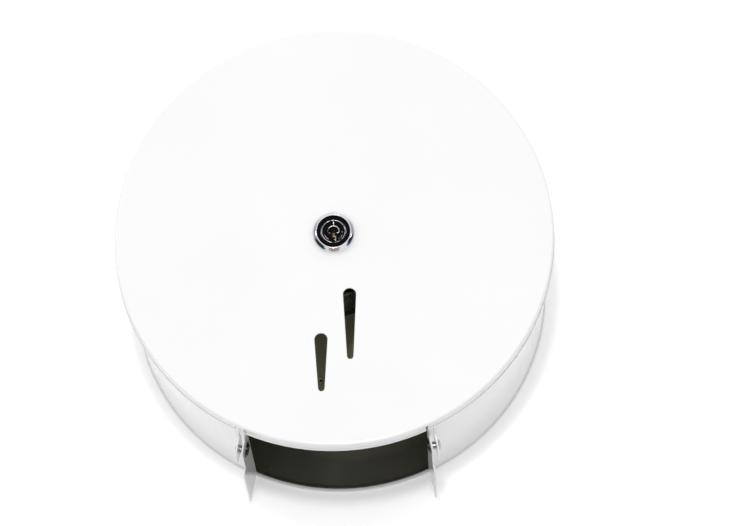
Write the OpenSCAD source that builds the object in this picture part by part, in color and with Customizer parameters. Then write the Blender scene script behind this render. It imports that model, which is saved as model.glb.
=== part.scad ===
// Round jumbo toilet roll dispenser for wall mounting: a dark pressed back plate, a white drum
// with a paper opening at the bottom, a hinged front cover with a central cam lock, and a spindle.
// +Z is up, the wall is the plane Y = 0 and the front face looks towards -Y. Millimetres.

/* [Body] */
// Outer diameter of the front cover
body_d = 270; // [220:1:330]
// Distance from the wall to the front face
body_depth = 120; // [112:1:150]
// Thickness of the coated steel sheet of the drum and cover
sheet_t = 1; // [0.8:0.1:1.4]
// Depth of the cover's turned-back skirt
skirt_depth = 10; // [8:0.5:14]
// Radial clearance between the skirt and the drum
skirt_gap = 2.4; // [2:0.1:5]
// Distance from the skirt's rear edge to the drum's front edge
drum_overlap = 6.5; // [4:0.5:7]
// Radius of the rolled bead round the skirt's rear edge
skirt_bead_r = 0.7; // [0.5:0.1:1]
// Outer radius of the bend round the cover's front edge
cover_bend_r = 1.6; // [1.3:0.1:2.2]
// Radius of the rolled bead round the drum's rear edge
bead_r = 0.8; // [0.6:0.1:1.6]

/* [Back plate] */
// Thickness of the pressed back plate
plate_t = 1; // [0.8:0.1:1.6]
// Inner radius of the corner between the back plate and its rim
plate_corner_r = 1.2; // [0.8:0.1:2]
// Straight height of the back plate's rim above that corner
plate_rim_stand = 0.4; // [0.2:0.1:3]
// Distance between the wall screw holes across the plate
screw_spacing_x = 130; // [90:1:150]
// Distance between the wall screw holes up the plate
screw_spacing_z = 110; // [80:1:130]
// Diameter of the wall screw holes
screw_hole_d = 6.5; // [4.5:0.1:8]
// Diameter of the two drain holes low in the back plate
drain_hole_d = 2; // [1.5:0.1:5]
// Distance between the two drain holes
drain_spacing = 27; // [16:1:60]
// Distance of the drain holes below the centre
drain_drop = 58; // [40:1:80]

/* [Paper opening] */
// Angle that the paper opening takes out of the drum
opening_angle = 49.6; // [40:0.1:54]
// Height of the tear teeth at their front end
flange_h = 18.6; // [16.5:0.1:19]
// Height of the tear teeth beside the wall
flange_rear_h = 17.6; // [14:0.1:19]
// Height of the tear flanges at their round nose
flange_nose_h = 13.8; // [13:0.1:13.8]
// Distance from the wall to the centre of the nose
flange_nose_out = 93; // [90:0.5:95]
// Lean of the tear flanges away from the vertical
flange_lean = 12; // [4:1:12]
// Distance from the wall to the rear end of the tear flanges
flange_foot = 1; // [0.5:0.5:4]
// Length of one tear tooth
tooth_pitch = 7; // [4:0.5:8]
// Height of one tear tooth
tooth_h = 2.2; // [1:0.1:3]
// Number of tear teeth on each flange
tooth_count = 9; // [4:1:10]

/* [Cover hinge] */
// Distance from the wall to the hinge axis
hinge_out = 83.5; // [81:0.5:88]
// Distance of the hinge axis from the root of the tear flange
hinge_drop = 6.7; // [6.6:0.1:8]
// Gap between a tear flange and the hinge ear outside it
ear_gap = 2.4; // [2.4:0.1:2.8]
// Height of the hinge ears, measured from the root of the flange
ear_h = 16.2; // [15:0.1:16.6]
// Distance from the wall to the centre of the ears' round front corner
ear_nose_out = 93.5; // [91:0.5:95]
// Radius of the hinge ears' round ends
ear_end_r = 4.3; // [3.9:0.1:4.3]
// Width of the bend reliefs cut in the skirt beside each ear
relief_w = 1.2; // [0.8:0.1:1.6]
// Length of the bend reliefs
relief_l = 7; // [4:0.5:7.5]
// Diameter of the hinge rivets
rivet_d = 5; // [4:0.1:5.4]
// Diameter of the hinge rivets' domed heads
rivet_head_d = 7.8; // [7:0.1:9]
// Height of the hinge rivets' domed heads
rivet_head_h = 1.6; // [1.2:0.1:2.4]
// Diameter of the hole in the hinge rivets' inner ends
rivet_hole_d = 2.8; // [2:0.1:3]
// Diameter of the washers inside the tear flanges
hinge_washer_d = 10; // [8.6:0.1:11]
// Thickness of the washers inside the tear flanges
hinge_washer_t = 0.5; // [0.4:0.1:1]

/* [Viewing slots] */
// Radius of the wide upper end of each viewing slot
slot_top_r = 4; // [2:0.1:6]
// Radius of the narrow lower end of each viewing slot
slot_bottom_r = 1.95; // [1:0.05:3]
// Sideways place of the right slot
slot_right_x = 9.3; // [5:0.1:30]
// Depth of the right slot's upper tip below the centre
slot_right_top = 35.4; // [25:0.1:60]
// Depth of the right slot's lower tip below the centre
slot_right_bottom = 80.7; // [65:0.1:110]
// Sideways place of the left slot
slot_left_x = -8.4; // [-30:0.1:-5]
// Depth of the left slot's upper tip below the centre
slot_left_top = 63.9; // [30:0.1:70]
// Depth of the left slot's lower tip below the centre
slot_left_bottom = 100.7; // [75:0.1:110]

/* [Lock] */
// Outer diameter of the lock's bezel
bezel_d = 26; // [23:0.1:30]
// Diameter of the lock's black face
lock_face_d = 20.6; // [19:0.1:21.5]
// Distance that the bezel stands out from the cover
bezel_h = 4.4; // [3:0.1:5.5]
// Height of the straight wall at the bezel's foot
bezel_wall_h = 2.4; // [1:0.1:2.6]
// Depth of the black face below the bezel's rim
face_sink = 1.8; // [1.5:0.1:2.2]
// Diameter of the lock's threaded barrel
barrel_d = 18; // [17:0.1:20]
// Length of the barrel behind the cover's front face
barrel_l = 16.6; // [14:0.1:17]
// Distance across the flats of the barrel
barrel_flats = 16.2; // [15.6:0.1:17]
// Diameter of the turning plug
plug_d = 15; // [13:0.1:15.2]
// Width of the keyway
keyway_w = 1.8; // [1.4:0.1:2.4]
// Height of the keyway
keyway_h = 8; // [6:0.1:8.4]
// Distance of the keyway's middle below the plug's axis
keyway_drop = 2.6; // [1:0.1:2.8]
// Distance across the corners of the lock nut's flats
nut_flats = 22; // [20.5:0.5:26]
// Thickness of the lock nut
nut_h = 3.5; // [2.5:0.1:5]
// Number of brass wafers in the plug
wafer_count = 5; // [3:1:6]

/* [Cam and strike] */
// Reach of the cam from the lock's axis
cam_reach = 12.5; // [11:0.1:12.8]
// Width of the cam's arm
cam_w = 10; // [8:0.1:10.5]
// Thickness of the cam
cam_t = 2; // [1.5:0.1:3]
// Clearance between the cam and the strike bracket's slot
strike_clear = 1.2; // [1:0.1:1.5]
// Thickness of the strike bracket's sheet
strike_t = 1.2; // [1:0.1:1.5]

/* [Spindle] */
// Diameter of the fixed spindle shaft
shaft_d = 12; // [10:0.1:13]
// Diameter of the turning hub that the roll's core rides on
hub_d = 45; // [43:0.5:55]
// Length of the hub
hub_l = 36; // [30:1:45]
// Distance from the wall to the rear of the hub
hub_out = 29; // [24:1:32]
// Distance that the stop ring at the rear of the hub stands out from it
stop_ring_rise = 2; // [1:0.1:5]
// Thickness of the stop ring
stop_ring_t = 2.5; // [2:0.1:4]
// Wall thickness of the hub's shell and ribs
hub_wall = 2.5; // [2:0.1:3]
// Number of ribs inside the hub
hub_rib_count = 6; // [3:1:8]
// Diameter of the flange that carries the shaft
spindle_base_d = 27; // [26:0.5:32]

/* [Fits] */
// Radial clearance of turning fits
run_fit = 0.05; // [0.02:0.01:0.1]
// Clearance between parts that are fixed together
still_fit = 0.02; // [0.01:0.01:0.05]

/* [Hidden] */
$fn = 96;
fine_fn = 180;
small = 0.01;
over = 1;

body_r = body_d / 2;
skirt_in_r = body_r - sheet_t;
drum_r = skirt_in_r - skirt_gap;
drum_in_r = drum_r - sheet_t;
skirt_rear = body_depth - skirt_depth;
drum_front = skirt_rear + drum_overlap;
plate_r = drum_in_r - still_fit;
plate_rim_h = plate_t + plate_corner_r + plate_rim_stand;
ring_h = 2 * bead_r;
half_open = opening_angle / 2;

// Root line of the right tear flange, in the drum's own front view
root_x = drum_r * sin(half_open);
root_z = -drum_r * cos(half_open);
teeth_end = flange_foot + tooth_count * tooth_pitch;

hinge_x = root_x + hinge_drop * sin(flange_lean);
hinge_z = root_z - hinge_drop * cos(flange_lean);
ear_offset = ear_gap + sheet_t;
rivet_r = rivet_d / 2;
rivet_bore_r = rivet_r + still_fit;
ear_bore_r = rivet_r + run_fit;
relief_gap = 0.2;
ear_root_h = skirt_gap + 1.5;
ear_root_l = 2.5;
// Distances along the hinge axis from the flange's middle plane
lean_rise = tan(flange_lean) * rivet_head_d / 2;
ear_out = (ear_offset + sheet_t / 2) / cos(flange_lean);
head_seat = ear_out + lean_rise + run_fit;
washer_seat = sheet_t / 2 + hinge_washer_t;
clinch_r = rivet_r + 1.1;
clinch_h = 0.8;
clinch_hole_depth = 3;

// Lock, measured outwards from the wall
bezel_front = body_depth + bezel_h;
face_floor = bezel_front - face_sink;
barrel_rear = body_depth - barrel_l;
bezel_lip = 0.5;
barrel_r = barrel_d / 2;
plug_r = plug_d / 2;
plug_front = face_floor + 1.2;
plug_rear = barrel_rear;
face_in_r = plug_r + 0.35;
tail_r = 4;
tail_flats = 6;
cover_back = body_depth - sheet_t;
tooth_washer_t = 0.6;
nut_front = cover_back - tooth_washer_t;
nut_rear = nut_front - nut_h;
wafer_t = 0.9;
wafer_pitch = 2.2;
wafer_w = 5;
wafer_h = 11;
wafer_first = plug_rear + 2;
keyway_depth = plug_front - plug_rear - 1.5;

// Strike bracket and cam, measured outwards from the wall
strike_front = barrel_rear - 1;
strike_plate_rear = strike_front - strike_t;
cam_front = strike_plate_rear - 0.6;
cam_rear = cam_front - cam_t;
cam_hub_r = tail_r + 2;
cam_washer_t = 0.6;
cam_screw_head_h = 2.4;
cam_screw_head_r = 3.6;
cam_screw_r = 1.9;
cam_screw_l = 6;
tail_rear = cam_rear;
strike_foot_room = 6;
strike_foot_front = cam_rear - cam_washer_t - cam_screw_head_h - strike_foot_room;
shaft_front = strike_foot_front - strike_t;
strike_low = -(cam_reach + strike_clear + 2.2);
strike_high = cam_hub_r + strike_clear + 2.3;
strike_foot_h = 14;
cam_sweep_r = sqrt(cam_reach * cam_reach + cam_w * cam_w / 4);
strike_half_w = cam_sweep_r + 0.6 + strike_t;
strike_screw_r = 3;
strike_screw_l = 14;
strike_screw_flats = 10;
strike_screw_head_h = 3.5;
strike_washer_t = 0.6;
strike_washer_r = 6;

// Spindle, measured outwards from the wall
shaft_r = shaft_d / 2;
hub_r = hub_d / 2;
hub_front = hub_out + hub_l;
stop_ring_r = hub_r + stop_ring_rise;
bush_wall = 2;
bush_l = 8;
bush_flange_t = 1.2;
bush_flange_r = shaft_r + bush_wall + 2;
hub_bore_r = shaft_r + bush_wall + still_fit;
hub_boss_r = hub_bore_r + hub_wall;
hub_lead_in = 2;
ring_seat_r = hub_r - 1;
base_flange_t = 3;
base_boss_r = shaft_r + 2;
base_boss_h = 6;
base_front = plate_t + base_flange_t + base_boss_h;
base_rivet_pitch_r = (spindle_base_d / 2 + base_boss_r) / 2;
base_rivet_r = 1.4;
base_rivet_head_r = 2.2;
base_rivet_head_h = 1.2;
base_rivet_count = 4;
end_play = 0.25;
spacer_front = hub_out - bush_flange_t - end_play;
thrust_washer_t = 1;
thrust_washer_rear = hub_front + bush_flange_t + end_play;
clip_t = 1.1;
clip_rear = thrust_washer_rear + thrust_washer_t + 0.1;
clip_groove_r = shaft_r - 0.9;
clip_out_r = shaft_r + 2.6;
clip_open_angle = 70;

white = [0.93, 0.93, 0.94];
dark_olive = [0.2, 0.2, 0.17];
black = [0.05, 0.05, 0.05];
chrome_tone = [0.82, 0.83, 0.86];
zinc = [0.68, 0.69, 0.7];
brass_tone = [0.75, 0.6, 0.3];
nylon = [0.85, 0.84, 0.78];

// Points of an arc round (cx, cy) from angle a0 to a1
function arc(cx, cy, r, a0, a1, n = 12) =
    [for (i = [0:n]) [cx + r * cos(a0 + (a1 - a0) * i / n), cy + r * sin(a0 + (a1 - a0) * i / n)]];

// Radius of the arc that leaves (0, 0) level and has dropped by drop after run
function sweep_r(run, drop) = (run * run + drop * drop) / (2 * drop);

// Turns a front view (x right, y up, z out of the wall) into the part's frame
module front_view() {
    rotate([90, 0, 0]) children();
}

// A round bar along the wall's normal, from distance a to distance b
module bar(r, a, b) {
    translate([0, 0, a]) cylinder(r = r, h = b - a);
}

// A ring along the wall's normal, from distance a to distance b
module ring(r_out, r_in, a, b) {
    difference() {
        bar(r_out, a, b);
        bar(r_in, a - over, b + over);
    }
}

// A bar with two flats, the flats facing left and right
module flatted_bar(r, flats, a, b) {
    intersection() {
        bar(r, a, b);
        translate([-flats / 2, -r, a - over]) cube([flats, 2 * r, b - a + 2 * over]);
    }
}

// A hexagon bar, from distance a to distance b
module hex_bar(flats, a, b) {
    translate([0, 0, a]) cylinder(r = flats / 2 / cos(30), h = b - a, $fn = 6);
}

// Both sides of the drum: the right one as drawn, the left one mirrored
module both_sides() {
    children();
    mirror([1, 0, 0]) children();
}

// Plane of the right tear flange: x away from the opening, y up to the root, z out of the wall
module flange_plane() {
    translate([root_x, root_z, 0]) rotate([0, 0, flange_lean]) children();
}

// A flat plate in the flange's plane, drawn as [distance from the wall, height from the root]
module flange_sheet(offset_x, thickness) {
    flange_plane()
        translate([offset_x + thickness / 2, 0, 0])
            rotate([0, -90, 0])
                linear_extrude(height = thickness) mirror([0, 1, 0]) children();
}

// The hinge axis on the right: z runs away from the opening, along the axis
module hinge_axis() {
    translate([hinge_x, hinge_z, hinge_out]) rotate([0, 90, 0]) children();
}

// Outline of a tear flange, teeth towards the wall and a round nose that carries the hinge
module flange_outline() {
    rise = (flange_h - flange_rear_h) / tooth_count;
    teeth = [for (i = [0:tooth_count - 1]) each [
        [flange_foot + i * tooth_pitch, flange_rear_h + i * rise],
        [flange_foot + (i + 0.5) * tooth_pitch, flange_rear_h + (i + 0.5) * rise - tooth_h]
    ]];
    nose_r = flange_nose_h - hinge_drop;
    nose_end = -40;
    nose = arc(flange_nose_out, hinge_drop, nose_r, 90, nose_end, 20);
    polygon(concat(
        [[flange_foot, -sheet_t / 2]],
        teeth,
        [[teeth_end, flange_h], [teeth_end + tooth_h, flange_nose_h]],
        nose,
        [[flange_nose_out + nose_r * cos(nose_end), -sheet_t / 2]]
    ));
}

// Outline of a hinge ear, from the skirt's rear edge back to the round end at the hinge
module ear_outline() {
    front = skirt_rear + ear_root_l;
    end_top = arc(hinge_out, hinge_drop, ear_end_r, -90, -180);
    end_low = arc(hinge_out, ear_h - ear_end_r, ear_end_r, 180, 90);
    nose = arc(ear_nose_out, hinge_drop, ear_h - hinge_drop, 90, -10, 20);
    polygon(concat(
        end_top, end_low, nose,
        [
            [front, ear_root_h], [front, -2 * sheet_t],
            [skirt_rear, -2 * sheet_t], [skirt_rear, hinge_drop - ear_end_r]
        ]
    ));
}

// A slot with a wide round top and a narrow round bottom, joined by its tangents
module teardrop(top, bottom) {
    top_c = top - slot_top_r;
    bottom_c = bottom + slot_bottom_r;
    lean = asin((slot_top_r - slot_bottom_r) / (top_c - bottom_c));
    polygon(concat(
        arc(0, top_c, slot_top_r, -lean, 180 + lean, 24),
        arc(0, bottom_c, slot_bottom_r, 180 + lean, 360 - lean, 16)
    ));
}

// Pie-shaped cutter for the paper opening, from distance a to distance b
module opening_wedge(a, b) {
    reach = body_r + over;
    side = reach * tan(half_open);
    translate([0, 0, a]) linear_extrude(height = b - a)
        polygon([[0, 0], [side, -reach], [-side, -reach]]);
}

module back_plate() {
    inner = plate_r - plate_t;
    corner_c = [inner - plate_corner_r, plate_t + plate_corner_r];
    outer_bend = plate_corner_r + plate_t;
    profile = concat(
        [[0, 0]],
        arc(plate_r - outer_bend, outer_bend, outer_bend, -90, 0),
        [[plate_r, plate_rim_h], [inner, plate_rim_h]],
        arc(corner_c[0], corner_c[1], plate_corner_r, 0, -90),
        [[0, plate_t]]
    );
    color(dark_olive) front_view() difference() {
        rotate_extrude($fn = fine_fn) polygon(profile);
        for (x = [-1, 1], y = [-1, 1])
            translate([x * screw_spacing_x / 2, y * screw_spacing_z / 2, 0])
                bar(screw_hole_d / 2, -over, plate_t + over);
        for (x = [-1, 1])
            translate([x * drain_spacing / 2, -drain_drop, 0])
                bar(drain_hole_d / 2, -over, plate_t + over);
        for (i = [0:base_rivet_count - 1])
            rotate(45 + i * 360 / base_rivet_count)
                translate([base_rivet_pitch_r, 0, 0])
                    bar(base_rivet_r + still_fit, -over, plate_t + over);
    }
}

module drum_shell() {
    bead_profile = concat(
        [[drum_in_r, 0]],
        arc(drum_r, bead_r, bead_r, -90, 90),
        [[drum_in_r, ring_h]]
    );
    color(white) front_view() {
        difference() {
            union() {
                difference() {
                    ring(drum_r, drum_in_r, 0, drum_front, $fn = fine_fn);
                    opening_wedge(ring_h, drum_front + over);
                }
                rotate_extrude($fn = fine_fn) polygon(bead_profile);
                both_sides() flange_sheet(0, sheet_t) flange_outline();
            }
            both_sides() hinge_axis() bar(rivet_bore_r, -2 * ear_offset, 2 * ear_offset);
            bar(drum_in_r, -over, body_depth, $fn = fine_fn);
        }
    }
}

module spindle_base() {
    color(black) front_view() difference() {
        union() {
            bar(spindle_base_d / 2, plate_t, plate_t + base_flange_t);
            bar(base_boss_r, plate_t, base_front);
        }
        bar(shaft_r + still_fit, plate_t + small, base_front + over);
        for (i = [0:base_rivet_count - 1])
            rotate(45 + i * 360 / base_rivet_count)
                translate([base_rivet_pitch_r, 0, 0])
                    bar(base_rivet_r + still_fit, 0, base_front);
    }
}

module spindle_base_rivets() {
    seat = plate_t + base_flange_t;
    color(zinc) front_view()
        for (i = [0:base_rivet_count - 1])
            rotate(45 + i * 360 / base_rivet_count)
                translate([base_rivet_pitch_r, 0, 0]) {
                    bar(base_rivet_r, 0, seat + small);
                    translate([0, 0, seat])
                        cylinder(r1 = base_rivet_head_r, r2 = base_rivet_r, h = base_rivet_head_h);
                }
}

module spindle_shaft() {
    color(zinc) front_view() difference() {
        bar(shaft_r, plate_t + base_flange_t / 3, shaft_front);
        ring(shaft_r + over, clip_groove_r, clip_rear - 0.05, clip_rear + clip_t + 0.05);
        bar(strike_screw_r + still_fit, shaft_front - strike_screw_l, shaft_front + over);
    }
}

module spacer_tube() {
    color(zinc) front_view() ring(base_boss_r + 0.5, shaft_r + still_fit, base_front, spacer_front);
}

module hub() {
    web_rear = hub_out + bush_l;
    web_mid = web_rear + hub_wall / 2;
    web_front = hub_front - bush_l;
    rib_reach = hub_r - hub_wall / 2;
    color(black) front_view() {
        difference() {
            union() {
                difference() {
                    union() {
                        bar(hub_r, hub_out + stop_ring_t, hub_front - hub_lead_in);
                        translate([0, 0, hub_front - hub_lead_in])
                            cylinder(r1 = hub_r, r2 = hub_r - hub_lead_in / 2, h = hub_lead_in);
                        bar(ring_seat_r, hub_out, hub_out + stop_ring_t + over);
                    }
                    bar(hub_r - hub_wall, hub_out - over, web_rear);
                    bar(hub_r - hub_wall, web_rear + hub_wall, hub_front + over);
                }
                bar(hub_boss_r, hub_out, hub_front);
                for (i = [0:hub_rib_count - 1])
                    rotate(i * 360 / hub_rib_count)
                        translate([0, -hub_wall / 2, web_mid])
                            cube([rib_reach, hub_wall, web_front - web_mid]);
            }
            bar(hub_bore_r, hub_out - over, hub_front + over);
        }
    }
}

module hub_stop_ring() {
    edge = 0.5;
    color(black) front_view() difference() {
        union() {
            bar(stop_ring_r - edge, hub_out, hub_out + stop_ring_t);
            bar(stop_ring_r, hub_out + edge, hub_out + stop_ring_t - edge);
        }
        bar(ring_seat_r + still_fit, hub_out - over, hub_out + stop_ring_t + over);
    }
}

module hub_bushes() {
    color(nylon) front_view() {
        ring(shaft_r + bush_wall, shaft_r + run_fit, hub_out - small, hub_out + bush_l);
        ring(bush_flange_r, shaft_r + run_fit, hub_out - bush_flange_t, hub_out);
        ring(shaft_r + bush_wall, shaft_r + run_fit, hub_front - bush_l, hub_front + small);
        ring(bush_flange_r, shaft_r + run_fit, hub_front, hub_front + bush_flange_t);
    }
}

module thrust_washer() {
    color(zinc) front_view()
        ring(bush_flange_r + 1, shaft_r + run_fit, thrust_washer_rear,
             thrust_washer_rear + thrust_washer_t);
}

module retaining_clip() {
    reach = clip_out_r + over;
    color(zinc) front_view() difference() {
        ring(clip_out_r, clip_groove_r + run_fit, clip_rear, clip_rear + clip_t);
        translate([0, 0, clip_rear - over]) linear_extrude(height = clip_t + 2 * over)
            polygon([
                [0, 0],
                [reach * tan(clip_open_angle / 2), reach],
                [-reach * tan(clip_open_angle / 2), reach]
            ]);
    }
}

module strike_bracket() {
    width = 2 * strike_half_w;
    slot_half = cam_hub_r + strike_clear - 0.2;
    color(zinc) front_view() difference() {
        union() {
            intersection() {
                translate([-strike_half_w, strike_low, strike_plate_rear])
                    cube([width, strike_high - strike_low, strike_t]);
                bar(hub_r - 0.6, strike_plate_rear - over, strike_front + over);
            }
            for (x = [-strike_half_w, strike_half_w - strike_t])
                translate([x, -strike_foot_h / 2, shaft_front])
                    cube([strike_t, strike_foot_h, strike_front - shaft_front]);
            translate([-strike_half_w, -strike_foot_h / 2, shaft_front])
                cube([width, strike_foot_h, strike_t]);
        }
        translate([-slot_half, -cam_reach - strike_clear, strike_plate_rear - over])
            cube([2 * slot_half, cam_reach + cam_hub_r + 2 * strike_clear, strike_t + 2 * over]);
        bar(strike_screw_r + still_fit, shaft_front - over, strike_foot_front + over);
    }
}

module strike_washer() {
    color(zinc) front_view()
        ring(strike_washer_r, strike_screw_r + still_fit, strike_foot_front,
             strike_foot_front + strike_washer_t);
}

module strike_screw() {
    seat = strike_foot_front + strike_washer_t;
    color(zinc) front_view() {
        bar(strike_screw_r, shaft_front - strike_screw_l + 1, seat + small);
        hex_bar(strike_screw_flats, seat, seat + strike_screw_head_h);
    }
}

module front_cover() {
    bend_in_r = cover_bend_r - sheet_t;
    bend_c = [body_r - cover_bend_r, body_depth - cover_bend_r];
    profile = concat(
        [[0, body_depth]],
        arc(bend_c[0], bend_c[1], cover_bend_r, 90, 0),
        arc(body_r, skirt_rear + skirt_bead_r, skirt_bead_r, 90, -90),
        [[skirt_in_r, skirt_rear]],
        arc(bend_c[0], bend_c[1], bend_in_r, 0, 90),
        [[0, cover_back]]
    );
    relief_at = [-sheet_t / 2 - relief_w, ear_offset + sheet_t / 2 + relief_gap];
    color(white) front_view() difference() {
        union() {
            difference() {
                rotate_extrude($fn = fine_fn) polygon(profile);
                both_sides() flange_plane()
                    for (x = relief_at)
                        translate([x, -skirt_depth, skirt_rear - over])
                            cube([relief_w, 2 * skirt_depth, relief_l + over]);
            }
            difference() {
                both_sides() flange_sheet(ear_offset, sheet_t) ear_outline();
                bar(skirt_in_r, skirt_rear - over, body_depth, $fn = fine_fn);
            }
        }
        both_sides() hinge_axis() bar(ear_bore_r, 0, 3 * ear_offset);
        flatted_bar(barrel_r + still_fit, barrel_flats + 2 * still_fit,
                    cover_back - over, body_depth + over);
        translate([slot_right_x, 0, cover_back - over]) linear_extrude(height = sheet_t + 2 * over)
            teardrop(-slot_right_top, -slot_right_bottom);
        translate([slot_left_x, 0, cover_back - over]) linear_extrude(height = sheet_t + 2 * over)
            teardrop(-slot_left_top, -slot_left_bottom);
    }
}

// A disc on the inner face of the right tear flange, square to it, from height a to height b
module flange_disc(r, a, b) {
    flange_plane()
        translate([-b, -hinge_drop, hinge_out])
            rotate([0, 90, 0]) cylinder(r = r, h = b - a);
}

module hinge_rivets() {
    dome_r = sweep_r(rivet_head_d / 2, rivet_head_h);
    clinch_end = washer_seat + clinch_h;
    color(zinc) front_view() both_sides() difference() {
        union() {
            difference() {
                hinge_axis() bar(rivet_r, -washer_seat - clinch_h - over, head_seat + small);
                flange_disc(clinch_r + over, washer_seat + clinch_h / 2, washer_seat + 2 * ear_offset);
            }
            flange_disc(clinch_r, washer_seat, clinch_end);
            hinge_axis() intersection() {
                translate([0, 0, head_seat + rivet_head_h - dome_r]) sphere(r = dome_r);
                bar(rivet_head_d / 2, head_seat, head_seat + rivet_head_h);
            }
        }
        hinge_axis() bar(rivet_hole_d / 2, -2 * ear_offset, clinch_hole_depth - clinch_end);
    }
}

module hinge_washers() {
    color(black) front_view() both_sides() difference() {
        flange_disc(hinge_washer_d / 2, sheet_t / 2, washer_seat);
        hinge_axis() bar(rivet_bore_r, -2 * ear_offset, ear_offset);
    }
}

module lock_barrel() {
    lip_r = lock_face_d / 2 + bezel_lip;
    flare = bezel_d / 2 - lip_r;
    dome_h = bezel_h - bezel_wall_h;
    slope = atan(dome_h / flare);
    half_turn = min(22, slope, 90 - slope);
    dome_r = norm([flare, dome_h]) / (2 * sin(half_turn));
    dome_x = lip_r - dome_r * sin(slope - half_turn);
    dome_y = bezel_front - dome_r * cos(slope - half_turn);
    dome = arc(dome_x, dome_y, dome_r, 90 - slope - half_turn, 90 - slope + half_turn);
    color(chrome_tone) front_view() difference() {
        union() {
            rotate_extrude()
                polygon(concat([[0, body_depth], [bezel_d / 2, body_depth]], dome, [[0, bezel_front]]));
            flatted_bar(barrel_r, barrel_flats, barrel_rear, body_depth + small);
        }
        bar(plug_r + run_fit, barrel_rear - over, bezel_front + over);
        bar(lock_face_d / 2, face_floor, bezel_front + over);
    }
}

module lock_face() {
    step = 0.5;
    color(black) front_view() {
        ring(lock_face_d / 2 - still_fit, face_in_r, face_floor, face_floor + step);
        ring(face_in_r + 1.4, face_in_r, face_floor, plug_front);
    }
}

module lock_tooth_washer() {
    teeth = 16;
    color(zinc) front_view() difference() {
        bar(barrel_r + 2.6, nut_front, cover_back);
        bar(barrel_r + run_fit, nut_front - over, cover_back + over);
        for (i = [0:teeth - 1])
            rotate(i * 360 / teeth)
                translate([barrel_r + 1.6, -0.4, nut_front - over])
                    cube([2, 0.8, tooth_washer_t + 2 * over]);
    }
}

module lock_nut() {
    color(zinc) front_view() difference() {
        hex_bar(nut_flats, nut_rear, nut_front);
        bar(barrel_r + still_fit, nut_rear - over, nut_front + over);
    }
}

// Slots for the wafers, or the wafers themselves with a play of zero
module wafer_row(width, height, thickness) {
    for (i = [0:wafer_count - 1])
        translate([-width / 2, -height / 2, wafer_first + i * wafer_pitch + (wafer_t - thickness) / 2])
            cube([width, height, thickness]);
}

module lock_plug() {
    play = 0.1;
    recess_r = 2.6;
    color(black) front_view() difference() {
        union() {
            bar(plug_r, plug_rear, plug_front);
            flatted_bar(tail_r, tail_flats, tail_rear, plug_rear + small);
        }
        translate([-keyway_w / 2, -keyway_drop - keyway_h / 2, plug_front - keyway_depth])
            cube([keyway_w, keyway_h, keyway_depth + over]);
        bar(recess_r, plug_front - 0.6, plug_front + over);
        wafer_row(wafer_w + 2 * play, wafer_h + 2 * play, wafer_t + 2 * play);
        bar(cam_screw_r + still_fit, tail_rear - over, tail_rear + cam_screw_l);
    }
}

module lock_wafers() {
    window_h = keyway_h - 4;
    color(brass_tone) front_view() difference() {
        wafer_row(wafer_w, wafer_h, wafer_t);
        translate([-keyway_w / 2 - 0.3, -keyway_drop - window_h / 2, plug_rear])
            cube([keyway_w + 0.6, window_h, plug_front - plug_rear]);
    }
}

module lock_cam() {
    color(zinc) front_view() difference() {
        union() {
            bar(cam_hub_r, cam_rear, cam_front);
            translate([-cam_w / 2, -cam_reach, cam_rear]) cube([cam_w, cam_reach, cam_t]);
        }
        flatted_bar(tail_r + still_fit, tail_flats + 2 * still_fit, cam_rear - over, cam_front + over);
    }
}

module cam_washer() {
    color(zinc) front_view()
        ring(cam_hub_r - 0.5, cam_screw_r + still_fit, cam_rear - cam_washer_t, cam_rear);
}

module cam_screw() {
    seat = cam_rear - cam_washer_t;
    slot_w = 1;
    color(zinc) front_view() difference() {
        union() {
            bar(cam_screw_r, seat - small, tail_rear + cam_screw_l - 1);
            bar(cam_screw_head_r, seat - cam_screw_head_h, seat);
        }
        for (a = [0, 90])
            rotate(a) translate([-slot_w / 2, -cam_screw_head_r + 1, seat - cam_screw_head_h - over])
                cube([slot_w, 2 * cam_screw_head_r - 2, 1.2 + over]);
    }
}

back_plate();
drum_shell();
spindle_base();
spindle_base_rivets();
spindle_shaft();
spacer_tube();
hub();
hub_stop_ring();
hub_bushes();
thrust_washer();
retaining_clip();
strike_bracket();
strike_washer();
strike_screw();
front_cover();
hinge_rivets();
hinge_washers();
lock_barrel();
lock_face();
lock_tooth_washer();
lock_nut();
lock_plug();
lock_wafers();
lock_cam();
cam_washer();
cam_screw();
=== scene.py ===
import math

import bmesh
import bpy
from mathutils import Matrix, Vector


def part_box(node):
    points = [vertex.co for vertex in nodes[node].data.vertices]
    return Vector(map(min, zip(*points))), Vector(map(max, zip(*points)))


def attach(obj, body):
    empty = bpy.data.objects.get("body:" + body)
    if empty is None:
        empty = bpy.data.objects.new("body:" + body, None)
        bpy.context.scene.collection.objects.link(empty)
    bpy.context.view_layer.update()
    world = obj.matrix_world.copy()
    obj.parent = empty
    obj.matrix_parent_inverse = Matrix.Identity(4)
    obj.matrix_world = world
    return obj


MM = 0.001

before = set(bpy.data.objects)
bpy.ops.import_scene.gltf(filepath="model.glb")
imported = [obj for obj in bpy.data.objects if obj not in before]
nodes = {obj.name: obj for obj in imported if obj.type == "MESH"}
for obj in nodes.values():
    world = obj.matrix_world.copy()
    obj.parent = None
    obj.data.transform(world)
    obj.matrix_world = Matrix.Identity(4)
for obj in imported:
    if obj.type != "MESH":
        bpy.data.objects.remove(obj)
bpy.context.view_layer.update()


# ---------------------------------------------------------------- node trees

BEVEL_SAMPLES = 4
# How far the rounded normal leaves the true one, as 1 minus the cosine: no edge yet, and a full edge.
EDGE_TURN = (0.02, 0.25)
# Most of a noise's values lie between these.
NOISE_SPAN = (0.3, 0.7)


def colour(red, green, blue):
    return (red, green, blue, 1.0)


def grey(level):
    return colour(level, level, level)


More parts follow.
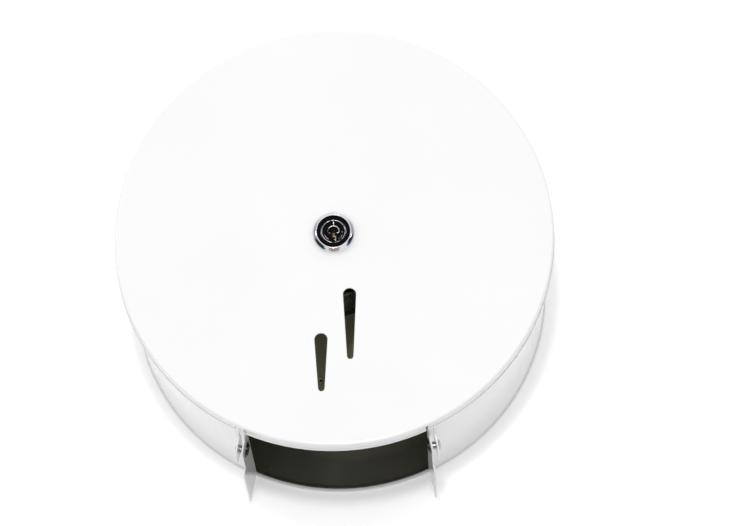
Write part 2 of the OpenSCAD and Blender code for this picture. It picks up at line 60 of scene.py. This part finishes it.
class NodeTree:
    """Adds nodes to a tree. Inputs are named with _ for a space, and take a value or a socket."""

    def __init__(self, tree):
        self.tree = tree

    def put(self, socket, value):
        if isinstance(value, bpy.types.NodeSocket):
            self.tree.links.new(value, socket)
        else:
            socket.default_value = value

    def put_all(self, node, values):
        for socket, value in zip(node.inputs, values):
            self.put(socket, value)

    def add(self, kind, **inputs):
        node = self.tree.nodes.new(kind)
        for key, value in inputs.items():
            self.put(node.inputs[key.replace("_", " ")], value)
        return node

    def remap(self, value, source, target=(0.0, 1.0), interpolation="LINEAR"):
        """Takes the span source to the span target, and holds the ends beyond it."""
        node = self.add("ShaderNodeMapRange", Value=value, From_Min=source[0], From_Max=source[1],
                        To_Min=target[0], To_Max=target[1])
        node.interpolation_type = interpolation
        return node.outputs["Result"]

    def spread(self, noise, low, high):
        """Goes from low to high over the span where most of a noise's values lie."""
        return self.remap(noise, NOISE_SPAN, (low, high))

    def math(self, operation, *numbers):
        node = self.add("ShaderNodeMath")
        node.operation = operation
        self.put_all(node, numbers)
        return node.outputs[0]

    def vector_math(self, operation, *vectors):
        node = self.add("ShaderNodeVectorMath")
        node.operation = operation
        self.put_all(node, vectors)
        return node.outputs

    def mix(self, fac, first, second):
        """Mixes colours. The node has sockets of the same name for other data, so they go by number."""
        node = self.add("ShaderNodeMix")
        node.data_type = "RGBA"
        for number, value in ((0, fac), (6, first), (7, second)):
            self.put(node.inputs[number], value)
        return node.outputs[2]

    def mix_shader(self, fac, first, second):
        node = self.add("ShaderNodeMixShader")
        self.put_all(node, (fac, first, second))
        return node.outputs[0]


class Shader(NodeTree):
    """One node material, built from small steps that share the object's own coordinates."""

    def __init__(self, name):
        self.material = bpy.data.materials.new(name)
        self.material.use_nodes = True
        super().__init__(self.material.node_tree)
        self.surface = self.tree.nodes["Principled BSDF"]
        self.place = self.add("ShaderNodeTexCoord").outputs["Object"]

    def set(self, **inputs):
        for key, value in inputs.items():
            self.put(self.surface.inputs[key.replace("_", " ")], value)

    def axis(self, letter):
        return self.add("ShaderNodeSeparateXYZ", Vector=self.place).outputs[letter]

    def noise(self, scale, detail=3.0, stretch=(1, 1, 1), roughness=0.55):
        moved = self.add("ShaderNodeMapping", Vector=self.place, Scale=stretch).outputs["Vector"]
        node = self.add("ShaderNodeTexNoise", Vector=moved, Scale=scale, Detail=detail, Roughness=roughness)
        return node.outputs["Fac"]

    def rounded(self, radius):
        node = self.add("ShaderNodeBevel", Radius=radius)
        node.samples = BEVEL_SAMPLES
        return node.outputs["Normal"]

    def edges(self, radius, amount):
        """0 on flat ground, up to the amount on edges, where the rounded normal leaves the true one."""
        true_normal = self.add("ShaderNodeNewGeometry").outputs["Normal"]
        agreement = self.vector_math("DOT_PRODUCT", self.rounded(radius), true_normal)["Value"]
        return self.remap(self.math("SUBTRACT", 1.0, agreement), EDGE_TURN, (0.0, amount))

    def bump(self, height, strength, distance, normal=None):
        node = self.add("ShaderNodeBump", Height=height, Strength=strength, Distance=distance)
        if normal is not None:
            self.put(node.inputs["Normal"], normal)
        return node.outputs["Normal"]


# ---------------------------------------------------------------- materials

# The back plate's inner face lies 1 mm in front of its back, and the painted light on the inner face starts
# between the two.
PLATE_MIDDLE = (-0.7 * MM, -0.5 * MM)
LIT_MIDDLE_WOBBLE = 6 * MM
PAINTED_SHADE_TONE = colour(0.008, 0.008, 0.009)
PAINTED_SHADE_FADE = 0.1 * MM


def paint_lit_middle(s, tone, cloud, inner, outer, pale):
    """Paints light on the plate's inner face as a paler coat: wholly up to one radius, and fading to the
    other.
    """
    flat = s.vector_math("MULTIPLY", s.place, (1.0, 0.0, 1.0))["Vector"]
    radius = s.vector_math("LENGTH", flat)["Value"]
    uneven = s.math("ADD", radius, s.spread(cloud, -LIT_MIDDLE_WOBBLE, LIT_MIDDLE_WOBBLE))
    inside = s.remap(s.axis("Y"), PLATE_MIDDLE, (1.0, 0.0))
    return s.mix(s.math("MULTIPLY", inside, s.remap(uneven, (inner, outer), (1.0, 0.0))), tone, pale)


def powder_coat(name, base, shade, worn, gloss, lit_middle=None):
    """Smooth powder coat: faint orange peel, slow change of tone, coat thinned along the edges.

    Where lit_middle is given, as two radii and a tone, the inner face is painted pale around its middle, as
    painted light.
    """
    s = Shader(name)
    cloud = s.noise(scale=9.0, detail=4.0)
    tone = s.mix(s.remap(cloud, (0.35, 0.65)), base, shade)
    # Painted light: a paler tone on the middle of the inner face.
    if lit_middle:
        tone = paint_lit_middle(s, tone, cloud, *lit_middle)
    patchy = s.remap(s.noise(scale=260.0, detail=4.0), (0.42, 0.66), (0.1, 1.0))
    thinned = s.math("MULTIPLY", s.edges(radius=0.6 * MM, amount=0.8), patchy)
    s.set(Base_Color=s.mix(thinned, tone, worn))
    smear = s.noise(scale=26.0, detail=5.0, stretch=(1.0, 0.5, 2.2))
    fine = s.spread(s.noise(scale=1400.0, detail=2.0), -0.02, 0.02)
    rough = s.math("ADD", s.spread(smear, gloss - 0.04, gloss + 0.07), fine)
    s.set(Roughness=s.math("ADD", rough, s.math("MULTIPLY", thinned, 0.2)))
    coarse_peel = s.math("MULTIPLY", s.noise(scale=210.0, detail=1.0), 0.8)
    peel = s.math("ADD", s.noise(scale=620.0, detail=2.0), coarse_peel)
    s.set(Normal=s.bump(peel, strength=0.16, distance=0.06 * MM, normal=s.rounded(0.35 * MM)))
    return s.material


def plastic(name, base, shade, gloss, grain=1500.0, specular=0.5):
    """Moulded plastic: fine tooled grain, slightly polished edges, a little dust in the tone."""
    s = Shader(name)
    dust = s.remap(s.noise(scale=70.0, detail=5.0), (0.45, 0.75))
    polished = s.edges(radius=0.4 * MM, amount=0.6)
    s.set(Base_Color=s.mix(polished, s.mix(dust, base, shade), shade), Specular_IOR_Level=specular)
    rough = s.spread(s.noise(scale=110.0, detail=4.0), gloss - 0.06, gloss + 0.08)
    s.set(Roughness=s.math("SUBTRACT", rough, s.math("MULTIPLY", polished, 0.12)))
    s.set(Normal=s.bump(s.noise(scale=grain, detail=2.0), strength=0.22, distance=0.04 * MM,
                        normal=s.rounded(0.3 * MM)))
    return s.material


def metal(name, base, shade, gloss, stretch, scale=420.0, painted_shade_up_to=None):
    """Plated or turned metal: brushing lines, cloudy tone, brighter worn edges.

    Where painted_shade_up_to is given, what lies nearer than that to the middle plane is painted black, as
    painted shade of the hollow rivet head.
    """
    s = Shader(name)
    lines = s.noise(scale=scale, detail=5.0, stretch=stretch, roughness=0.65)
    cloud = s.noise(scale=60.0, detail=4.0)
    tone = s.mix(s.remap(cloud, (0.35, 0.7)), base, shade)
    tone = s.mix(s.edges(radius=0.35 * MM, amount=0.7), tone, base)
    outside_painted_shade = 1.0
    if painted_shade_up_to is not None:
        side = s.math("ABSOLUTE", s.axis("X"))
        outside_painted_shade = s.remap(side, (painted_shade_up_to - PAINTED_SHADE_FADE, painted_shade_up_to + PAINTED_SHADE_FADE))
        # Painted shade: a black tone, not metallic, near the middle plane.
        tone = s.mix(outside_painted_shade, PAINTED_SHADE_TONE, tone)
    s.set(Base_Color=tone, Metallic=outside_painted_shade)
    rough = s.spread(lines, gloss - 0.05, gloss + 0.08)
    s.set(Roughness=s.math("ADD", rough, s.spread(cloud, 0.0, 0.05)))
    s.set(Normal=s.bump(lines, strength=0.12, distance=0.03 * MM, normal=s.rounded(0.3 * MM)))
    return s.material


def worn_black(name):
    """Black finish on the lock's raised lines, rubbed through to bright metal in broken patches."""
    s = Shader(name)
    patch = s.remap(s.noise(scale=520.0), (0.4, 0.52))
    s.set(Base_Color=s.mix(patch, colour(0.006, 0.006, 0.007), colour(0.8, 0.8, 0.82)))
    s.set(Metallic=patch, Roughness=s.spread(s.noise(scale=1500.0), 0.14, 0.3))
    s.set(Normal=s.bump(s.noise(scale=1300.0, detail=2.0), strength=0.2, distance=0.03 * MM))
    return s.material


# Painted shade: the rivet's inner head is painted black over this length from its inner end, for the shade
# in its hollow.
RIVET_PAINTED_SHADE_LENGTH = 2.2 * MM
rivet_inner_end = min(abs(corner.co.x) for corner in nodes["hinge_rivets"].data.vertices)

white_coat = powder_coat("white_coat", grey(0.92), colour(0.905, 0.906, 0.908),
                         worn=colour(0.68, 0.68, 0.67), gloss=0.13)
# The pale middle on the back plate's inner face is painted light.
dark_coat = powder_coat("dark_coat", colour(0.068, 0.066, 0.047), colour(0.058, 0.057, 0.041),
                        worn=colour(0.18, 0.17, 0.14), gloss=0.2,
                        lit_middle=(66 * MM, 112 * MM, colour(0.33, 0.31, 0.215)))
black_plastic = plastic("black_plastic", colour(0.012, 0.012, 0.013), colour(0.035, 0.035, 0.036),
                        gloss=0.3)
black_steel = plastic("black_steel", colour(0.018, 0.018, 0.019), grey(0.05), gloss=0.38, grain=900.0)
lock_black = plastic("lock_black", colour(0.004, 0.004, 0.005), colour(0.01, 0.01, 0.011), gloss=0.16,
                     grain=2400.0, specular=0.02)
lock_worn = worn_black("lock_worn")
bush_nylon = plastic("bush_nylon", colour(0.74, 0.72, 0.64), colour(0.6, 0.58, 0.5), gloss=0.45)
chrome = metal("chrome", colour(0.83, 0.84, 0.86), colour(0.72, 0.73, 0.76), gloss=0.07,
               stretch=(1, 1, 1), scale=900.0)
zinc = metal("zinc", colour(0.66, 0.67, 0.69), colour(0.5, 0.51, 0.53), gloss=0.3, stretch=(1, 6, 1))
rivet_metal = metal("rivet_metal", colour(0.5, 0.5, 0.51), colour(0.24, 0.24, 0.25), gloss=0.3,
                    stretch=(5, 1, 1), painted_shade_up_to=rivet_inner_end + RIVET_PAINTED_SHADE_LENGTH)
spring_steel = metal("spring_steel", colour(0.4, 0.4, 0.42), colour(0.25, 0.25, 0.27), gloss=0.25,
                     stretch=(1, 8, 1))
brass = metal("brass", colour(0.76, 0.58, 0.3), colour(0.55, 0.4, 0.2), gloss=0.22, stretch=(1, 6, 1))

FINISH = {
    white_coat: ("drum_shell", "front_cover"),
    dark_coat: ("back_plate",),
    black_steel: ("spindle_base", "spacer_tube"),
    black_plastic: ("hub", "hub_stop_ring", "hinge_washers"),
    lock_black: ("lock_face", "lock_plug"),
    bush_nylon: ("hub_bushes",),
    chrome: ("lock_barrel",),
    zinc: ("spindle_base_rivets", "spindle_shaft", "thrust_washer", "strike_bracket", "strike_washer",
           "strike_screw", "lock_nut", "lock_cam", "cam_washer", "cam_screw"),
    rivet_metal: ("hinge_rivets",),
    spring_steel: ("retaining_clip", "lock_tooth_washer"),
    brass: ("lock_wafers",),
}
for finish, names in FINISH.items():
    for name in names:
        for slot in nodes[name].material_slots:
            slot.material = finish


# ---------------------------------------------------------------- fine detail on the lock

RIDGE_STEPS = 8
RIDGE_END = 0.45
PLUG_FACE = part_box("lock_plug")[0][1] / MM


def arc_points(radius, start, end, steps):
    turn = [math.radians(start + (end - start) * i / steps) for i in range(steps + 1)]
    return [(radius * math.cos(a), radius * math.sin(a)) for a in turn]


def straight_points(x, z, step_x, step_z, count):
    return [(x + step_x * i, z + step_z * i) for i in range(count)]


def ridge_section(point, before, after, width, height, y):
    """Half-round section at a point, square to the way from the point before it to the one after."""
    dx, dz = after[0] - before[0], after[1] - before[1]
    size = math.hypot(dx, dz)
    side_x, side_z = -dz / size, dx / size
    corners = []
    for k in range(RIDGE_STEPS + 1):
        turn = math.pi * k / RIDGE_STEPS
        across, out = width / 2 * math.cos(turn), height * math.sin(turn)
        x, z = point[0] + across * side_x, point[1] + across * side_z
        corners.append((x * MM, (y - out) * MM, z * MM))
    return corners


def raised_line(name, points, width, height, y, closed=False):
    """A half-round ridge on the plane at y, along points given as x and z, all in millimetres."""
    mesh = bpy.data.meshes.new(name)
    bm = bmesh.new()
    count = len(points)
    rings = []
    for i, point in enumerate(points):
        before = points[i - 1] if closed or i else point
        after = points[(i + 1) % count] if closed or i < count - 1 else point
        narrow = 1.0 if closed or 0 < i < count - 1 else RIDGE_END
        corners = ridge_section(point, before, after, narrow * width, narrow * height, y)
        rings.append([bm.verts.new(corner) for corner in corners])
    for i in range(count if closed else count - 1):
        first, second = rings[i], rings[(i + 1) % count]
        for k in range(RIDGE_STEPS):
            bm.faces.new((first[k], first[k + 1], second[k + 1], second[k]))
        bm.faces.new((first[RIDGE_STEPS], first[0], second[0], second[RIDGE_STEPS]))
    if not closed:
        bm.faces.new(rings[0])
        bm.faces.new(list(reversed(rings[-1])))
    bmesh.ops.recalc_face_normals(bm, faces=bm.faces)
    bm.to_mesh(mesh)
    bm.free()
    for face in mesh.polygons:
        face.use_smooth = len(face.vertices) == 4
    piece = bpy.data.objects.new(name, mesh)
    bpy.context.scene.collection.objects.link(piece)
    return piece


def plug_detail(name, points, width, height, closed=False):
    piece = raised_line(name, points, width, height, PLUG_FACE, closed)
    piece.data.materials.append(lock_worn)
    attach(piece, "plug")


guide_arch = arc_points(radius=3.5, start=-8, end=188, steps=28)
guide_arch = [(1.6, -1.0), (2.5, -1.1)] + guide_arch + [(-2.5, -1.1), (-1.6, -1.0)]
rim_line = arc_points(radius=7.15, start=0, end=354, steps=59)
plug_detail("key_guide_arch", guide_arch, width=0.62, height=0.3)
plug_detail("key_guide_bar", straight_points(0.1, 4.1, 0, 0.5, count=6), width=0.9, height=0.3)
plug_detail("plug_rim_line", rim_line, width=0.5, height=0.28, closed=True)
for side, start in (("left", 200), ("right", 300)):
    lower_line = arc_points(radius=5.9, start=start, end=start + 40, steps=12)
    plug_detail("plug_lower_line_" + side, lower_line, width=0.42, height=0.22)
plug_detail("keyway_edge_line", straight_points(1.35, -2.8, 0, -0.5, count=9), width=0.45, height=0.24)
for side, x, z in (("left", -2.9, -1.9), ("right", 5.2, -0.6)):
    plug_detail("plug_pip_" + side, straight_points(x, z, 0.25, 0, count=3), width=0.6, height=0.26)


# ---------------------------------------------------------------- stage

# The table top runs from just inside the plate's rim. A disc closes it behind the plate, in a dark tone
# that is painted shade.
TABLE_HOLE, TABLE_REACH, TABLE_Y = 0.129, 4.0, 0.0003
UNDER_REACH, UNDER_Y = 0.1295, 0.0004
TABLE_BOUNCE_TONE = 0.72


def plane_ring(name, inner, outer, y, steps=96):
    """A flat ring facing the front, or a disc where inner is 0."""
    mesh = bpy.data.meshes.new(name)
    bm = bmesh.new()
    rings = []
    for radius in (inner, outer):
        if radius == 0:
            rings.append([bm.verts.new((0, y, 0))] * steps)
            continue
        turn = [2 * math.pi * i / steps for i in range(steps)]
        rings.append([bm.verts.new((radius * math.sin(a), y, radius * math.cos(a))) for a in turn])
    for i in range(steps):
        j = (i + 1) % steps
        corners = [rings[0][i], rings[1][i], rings[1][j], rings[0][j]]
        face = bm.faces.new(list(dict.fromkeys(corners)))
        face.normal_update()
        if face.normal.y > 0:
            face.normal_flip()
    bm.to_mesh(mesh)
    bm.free()
    piece = bpy.data.objects.new(name, mesh)
    bpy.context.scene.collection.objects.link(piece)
    return piece


def table_material(name, tone, glow_level):
    """Matt top that keeps the shadow, open from behind.

    Camera and gloss see the tone with a little glow. Light that bounces off it meets a duller one.
    """
    material = bpy.data.materials.new(name)
    material.use_nodes = True
    tree = NodeTree(material.node_tree)
    tree.tree.nodes.clear()
    path = tree.add("ShaderNodeLightPath").outputs
    seen = tree.math("MAXIMUM", path["Is Camera Ray"], path["Is Glossy Ray"])
    lit = tree.add("ShaderNodeAddShader")
    tree.put_all(lit, (tree.add("ShaderNodeBsdfDiffuse", Color=grey(tone)).outputs[0],
                       tree.add("ShaderNodeEmission", Strength=glow_level).outputs[0]))
    plain = tree.add("ShaderNodeBsdfDiffuse", Color=grey(TABLE_BOUNCE_TONE))
    shown = tree.mix_shader(seen, plain.outputs[0], lit.outputs[0])
    behind = tree.add("ShaderNodeNewGeometry").outputs["Backfacing"]
    open_back = tree.add("ShaderNodeBsdfTransparent").outputs[0]
    tree.add("ShaderNodeOutputMaterial", Surface=tree.mix_shader(behind, shown, open_back))
    return material


table_top = plane_ring("table_top", TABLE_HOLE, TABLE_REACH, TABLE_Y)
table_under = plane_ring("table_under", 0, UNDER_REACH, UNDER_Y)
table_top.data.materials.append(table_material("table_white", tone=1.0, glow_level=0.2))
# Painted shade: the disc behind the plate takes a dark tone for the shade there.
table_under.data.materials.append(table_material("table_shade", tone=0.05, glow_level=0.0))
table_under.visible_shadow = False
table_under.visible_diffuse = False
table_under.visible_glossy = False


# ---------------------------------------------------------------- light

SKY_BRIGHT = (-0.65, -0.15, 0.6)
SKY_RANGE = (0.6, 0.84)

MIRROR_WHITE = grey(0.9)
NIGHT_BLUE = colour(0.02, 0.03, 0.08)
BROWN_PINK = colour(0.42, 0.31, 0.28)
# Patches that only glossy surfaces see: the direction of each, the cosine off it where the patch begins,
# the cosine where its tone is full, and the tone.
MIRROR_TONES = (
    ((-1.0, -0.25, 0.2), 0.6, 0.95, colour(0.42, 0.42, 0.44)),
    ((1.0, -0.25, 0.2), 0.6, 0.95, colour(0.42, 0.42, 0.45)),
    ((-0.84, -0.2, -0.45), 0.84, 0.93, colour(0.015, 0.015, 0.02)),
    ((-0.7, -0.62, -0.3), 0.93, 0.97, colour(0.03, 0.03, 0.035)),
    ((0.92, -0.2, -0.22), 0.88, 0.95, NIGHT_BLUE),
    ((0.75, -0.62, -0.08), 0.95, 0.98, NIGHT_BLUE),
    ((0.0, -0.35, -0.94), 0.9, 0.96, BROWN_PINK),
    ((0.0, -0.78, -0.62), 0.93, 0.97, BROWN_PINK),
)

COVER_MIDDLE = (0, -0.12, 0)
GLINT_POWER = 0.8
# Name, place, what it faces, width and height, power.
LAMPS = (
    ("key", (-0.03, -2.9, -0.04), (0, -0.1, 0), (0.2, 0.2), 22.0),
    ("glint_left", (-1.3, -1.4, 0.5), COVER_MIDDLE, (0.08, 0.3), GLINT_POWER),
    ("glint_right", (1.4, -1.3, 0.2), COVER_MIDDLE, (0.08, 0.3), GLINT_POWER),
    ("glint_top", (0.1, -1.0, 1.6), COVER_MIDDLE, (0.3, 0.08), GLINT_POWER),
)


def studio_world():
    """White surround, a little brighter from the upper left. Its darker patches show in gloss only."""
    world = bpy.data.worlds.new("studio")
    bpy.context.scene.world = world
    world.use_nodes = True
    tree = NodeTree(world.node_tree)
    tree.tree.nodes.clear()
    sky = tree.add("ShaderNodeTexCoord").outputs["Generated"]

    def towards(direction, low, high, target=(0.0, 1.0)):
        """Goes over the span target as the cosine off the direction goes from low to high."""
        cosine = tree.vector_math("DOT_PRODUCT", sky, Vector(direction).normalized())["Value"]
        return tree.remap(cosine, (low, high), target, "SMOOTHSTEP")

    path = tree.add("ShaderNodeLightPath").outputs
    brightness = towards(SKY_BRIGHT, -1.0, 1.0, SKY_RANGE)
    soft = tree.add("ShaderNodeBackground", Color=grey(1.0), Strength=brightness)
    reflected = MIRROR_WHITE
    for direction, edge, core, tone in MIRROR_TONES:
        reflected = tree.mix(towards(direction, edge, core), reflected, tone)
    mirror = tree.add("ShaderNodeBackground", Color=reflected)
    white = tree.add("ShaderNodeBackground", Color=grey(1.0))
    lighting = tree.mix_shader(path["Is Glossy Ray"], soft.outputs[0], mirror.outputs[0])
    seen = tree.math("MAXIMUM", path["Is Camera Ray"], path["Is Transmission Ray"])
    tree.add("ShaderNodeOutputWorld", Surface=tree.mix_shader(seen, lighting, white.outputs[0]))


def soft_light(name, place, target, size, energy):
    data = bpy.data.lights.new(name, "AREA")
    data.shape = "RECTANGLE"
    data.size, data.size_y = size
    data.energy = energy
    lamp = bpy.data.objects.new(name, data)
    lamp.location = place
    lamp.rotation_mode = "QUATERNION"
    lamp.rotation_quaternion = (Vector(target) - Vector(place)).to_track_quat("-Z", "Y")
    bpy.context.scene.collection.objects.link(lamp)


studio_world()
for lamp_row in LAMPS:
    soft_light(*lamp_row)


# ---------------------------------------------------------------- camera

CAMERA_AZIMUTH, CAMERA_ELEVATION, CAMERA_ROLL = 1.71, -18.69, 0.72
CAMERA_AIM = (18.92, -120.0, -19.35)
CAMERA_DISTANCE = 2.015
PHOTO_WIDTH = 729.0
FOCAL_LENGTH_PX = 3295.5
SENSOR_WIDTH = 36.0


def make_camera():
    """The photograph's viewpoint, fitted to its rims: a little to the right and well below, from 2 m.

    The roll turns camera and aim together about the wall's normal.
    """
    azimuth, elevation = math.radians(CAMERA_AZIMUTH), math.radians(CAMERA_ELEVATION)
    back = Vector((math.sin(azimuth) * math.cos(elevation), -math.cos(azimuth) * math.cos(elevation),
                   math.sin(elevation)))
    forward = -back
    right = forward.cross(Vector((0, 0, 1))).normalized()
    up = right.cross(forward)
    axes = Matrix((right, up, back)).transposed().to_4x4()
    place = Matrix.Translation(Vector(CAMERA_AIM) * MM + back * CAMERA_DISTANCE) @ axes
    data = bpy.data.cameras.new("camera")
    data.sensor_fit = "HORIZONTAL"
    data.sensor_width = SENSOR_WIDTH
    data.lens = SENSOR_WIDTH * FOCAL_LENGTH_PX / PHOTO_WIDTH
    data.clip_start, data.clip_end = 0.05, 60.0
    camera = bpy.data.objects.new("camera", data)
    camera.matrix_world = Matrix.Rotation(math.radians(CAMERA_ROLL), 4, "Y") @ place
    bpy.context.scene.collection.objects.link(camera)
    bpy.context.scene.camera = camera


make_camera()
bpy.context.scene.view_settings.view_transform = "Standard"
